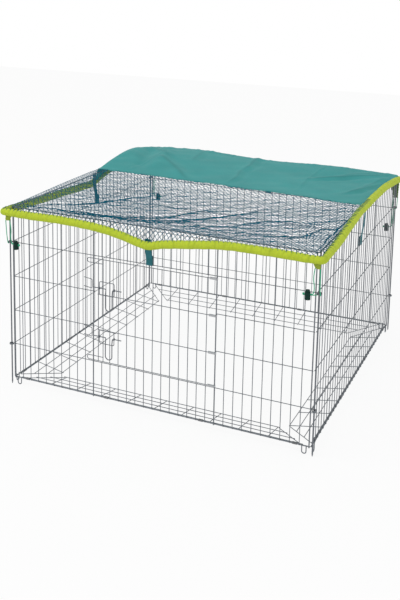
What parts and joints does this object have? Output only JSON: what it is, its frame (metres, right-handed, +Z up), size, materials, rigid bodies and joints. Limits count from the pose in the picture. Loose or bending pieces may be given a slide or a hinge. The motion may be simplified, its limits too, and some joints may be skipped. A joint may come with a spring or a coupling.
{
  "type": "outdoor rabbit run",
  "caption": "Square folding wire run for small animals with a latched front door, hinged floor frames against digging and a net cover with a shade part and padded rim.",
  "frame": {"origin": "on the ground under the middle of the run", "axes": "+Z up, door side towards -Y, +X to the right seen from the door side"},
  "size_m": [1.2088, 1.2157, 0.726],
  "materials": {
    "wire_zinc": "zinc-plated welded wire, satin",
    "rod_zinc": "zinc-plated rod, satin",
    "sheet_zinc": "dull zinc-plated sheet, darker than the wire",
    "spring_steel": "bright spring wire",
    "net": "open knotless polyester net, dark blue",
    "shade_cloth": "woven polyester, sea green",
    "rim_cloth": "puckered lime green cloth over a foam core",
    "webbing": "woven polyester webbing, blue green",
    "tab_cloth": "net lined cloth, olive green",
    "elastic_cord": "braided elastic cord, green",
    "lock_plastic": "moulded plastic, very dark green"
  },
  "bodies": {
    "run_frame": {"barrier_clips_back": "sheet_zinc", "barrier_clips_front": "sheet_zinc", "barrier_clips_left": "sheet_zinc", "barrier_clips_right": "sheet_zinc", "corner_rod_back_left": "rod_zinc", "corner_rod_back_right": "rod_zinc", "corner_rod_front_left": "rod_zinc", "corner_rod_front_right": "rod_zinc", "corner_tab_back_left": "tab_cloth", "corner_tab_back_right": "tab_cloth", "corner_tab_front_left": "tab_cloth", "corner_tab_front_right": "tab_cloth", "cover_net": "net", "cover_rim_back": "rim_cloth", "cover_rim_front": "rim_cloth", "cover_rim_left": "rim_cloth", "cover_rim_right": "rim_cloth", "cover_shade": "shade_cloth", "cover_strap_back": "webbing", "cover_strap_front": "webbing", "cover_strap_left": "webbing", "cover_strap_right": "webbing", "elastic_back_left": "elastic_cord", "elastic_back_right": "elastic_cord", "elastic_front_left": "elastic_cord", "elastic_front_right": "elastic_cord", "latch_lower_keeper": "wire_zinc", "latch_upper_keeper": "wire_zinc", "lock_barrel_back_left": "lock_plastic", "lock_barrel_back_right": "lock_plastic", "lock_barrel_front_left": "lock_plastic", "lock_barrel_front_right": "lock_plastic", "lock_spring_back_left": "spring_steel", "lock_spring_back_right": "spring_steel", "lock_spring_front_left": "spring_steel", "lock_spring_front_right": "spring_steel", "panel_back": "wire_zinc", "panel_front": "wire_zinc", "panel_left": "wire_zinc", "panel_right": "wire_zinc", "rest_feet": "wire_zinc"},
    "door": {"door": "wire_zinc", "door_hinge_straps": "sheet_zinc", "latch_upper_guide": "wire_zinc", "latch_lower_guide": "wire_zinc"},
    "upper_bolt": {"latch_upper_bolt": "wire_zinc"},
    "lower_bolt": {"latch_lower_bolt": "wire_zinc"},
    "barrier_front": {"barrier_front": "wire_zinc"},
    "barrier_right": {"barrier_right": "wire_zinc"},
    "barrier_back": {"barrier_back": "wire_zinc"},
    "barrier_left": {"barrier_left": "wire_zinc"},
    "plunger_front_left": {"lock_plunger_front_left": "lock_plastic"},
    "plunger_front_right": {"lock_plunger_front_right": "lock_plastic"},
    "plunger_back_left": {"lock_plunger_back_left": "lock_plastic"},
    "plunger_back_right": {"lock_plunger_back_right": "lock_plastic"}
  },
  "joints": [
    {"name": "door_swing", "type": "hinge", "parent": "run_frame", "child": "door", "pos_m": [0.23141, -0.5709, 0.35], "axis": [0, 0, 1], "range_deg": [0, 160]},
    {"name": "latch_upper_slide", "type": "slide", "parent": "door", "child": "upper_bolt", "axis": [1, 0, 0], "range_m": [-0.02, 0]},
    {"name": "latch_lower_slide", "type": "slide", "parent": "door", "child": "lower_bolt", "axis": [1, 0, 0], "range_m": [-0.02, 0]},
    {"name": "barrier_front_fold", "type": "hinge", "parent": "run_frame", "child": "barrier_front", "pos_m": [0, -0.5622, 0.026], "axis": [1, 0, 0], "range_deg": [0, 98]},
    {"name": "barrier_right_fold", "type": "hinge", "parent": "run_frame", "child": "barrier_right", "pos_m": [0.5622, 0, 0.026], "axis": [0, 1, 0], "range_deg": [0, 98]},
    {"name": "barrier_back_fold", "type": "hinge", "parent": "run_frame", "child": "barrier_back", "pos_m": [0, 0.5622, 0.026], "axis": [-1, 0, 0], "range_deg": [0, 98]},
    {"name": "barrier_left_fold", "type": "hinge", "parent": "run_frame", "child": "barrier_left", "pos_m": [-0.5622, 0, 0.026], "axis": [0, -1, 0], "range_deg": [0, 98]},
    {"name": "lock_front_left_press", "type": "slide", "parent": "run_frame", "child": "plunger_front_left", "axis": [0, 0, -1], "range_m": [0, 0.004], "stiffness_N_per_m": 1500, "deforming": ["lock_spring_front_left"]},
    {"name": "lock_front_right_press", "type": "slide", "parent": "run_frame", "child": "plunger_front_right", "axis": [0, 0, -1], "range_m": [0, 0.004], "stiffness_N_per_m": 1500, "deforming": ["lock_spring_front_right"]},
    {"name": "lock_back_left_press", "type": "slide", "parent": "run_frame", "child": "plunger_back_left", "axis": [0, 0, -1], "range_m": [0, 0.004], "stiffness_N_per_m": 1500, "deforming": ["lock_spring_back_left"]},
    {"name": "lock_back_right_press", "type": "slide", "parent": "run_frame", "child": "plunger_back_right", "axis": [0, 0, -1], "range_m": [0, 0.004], "stiffness_N_per_m": 1500, "deforming": ["lock_spring_back_right"]}
  ]
}
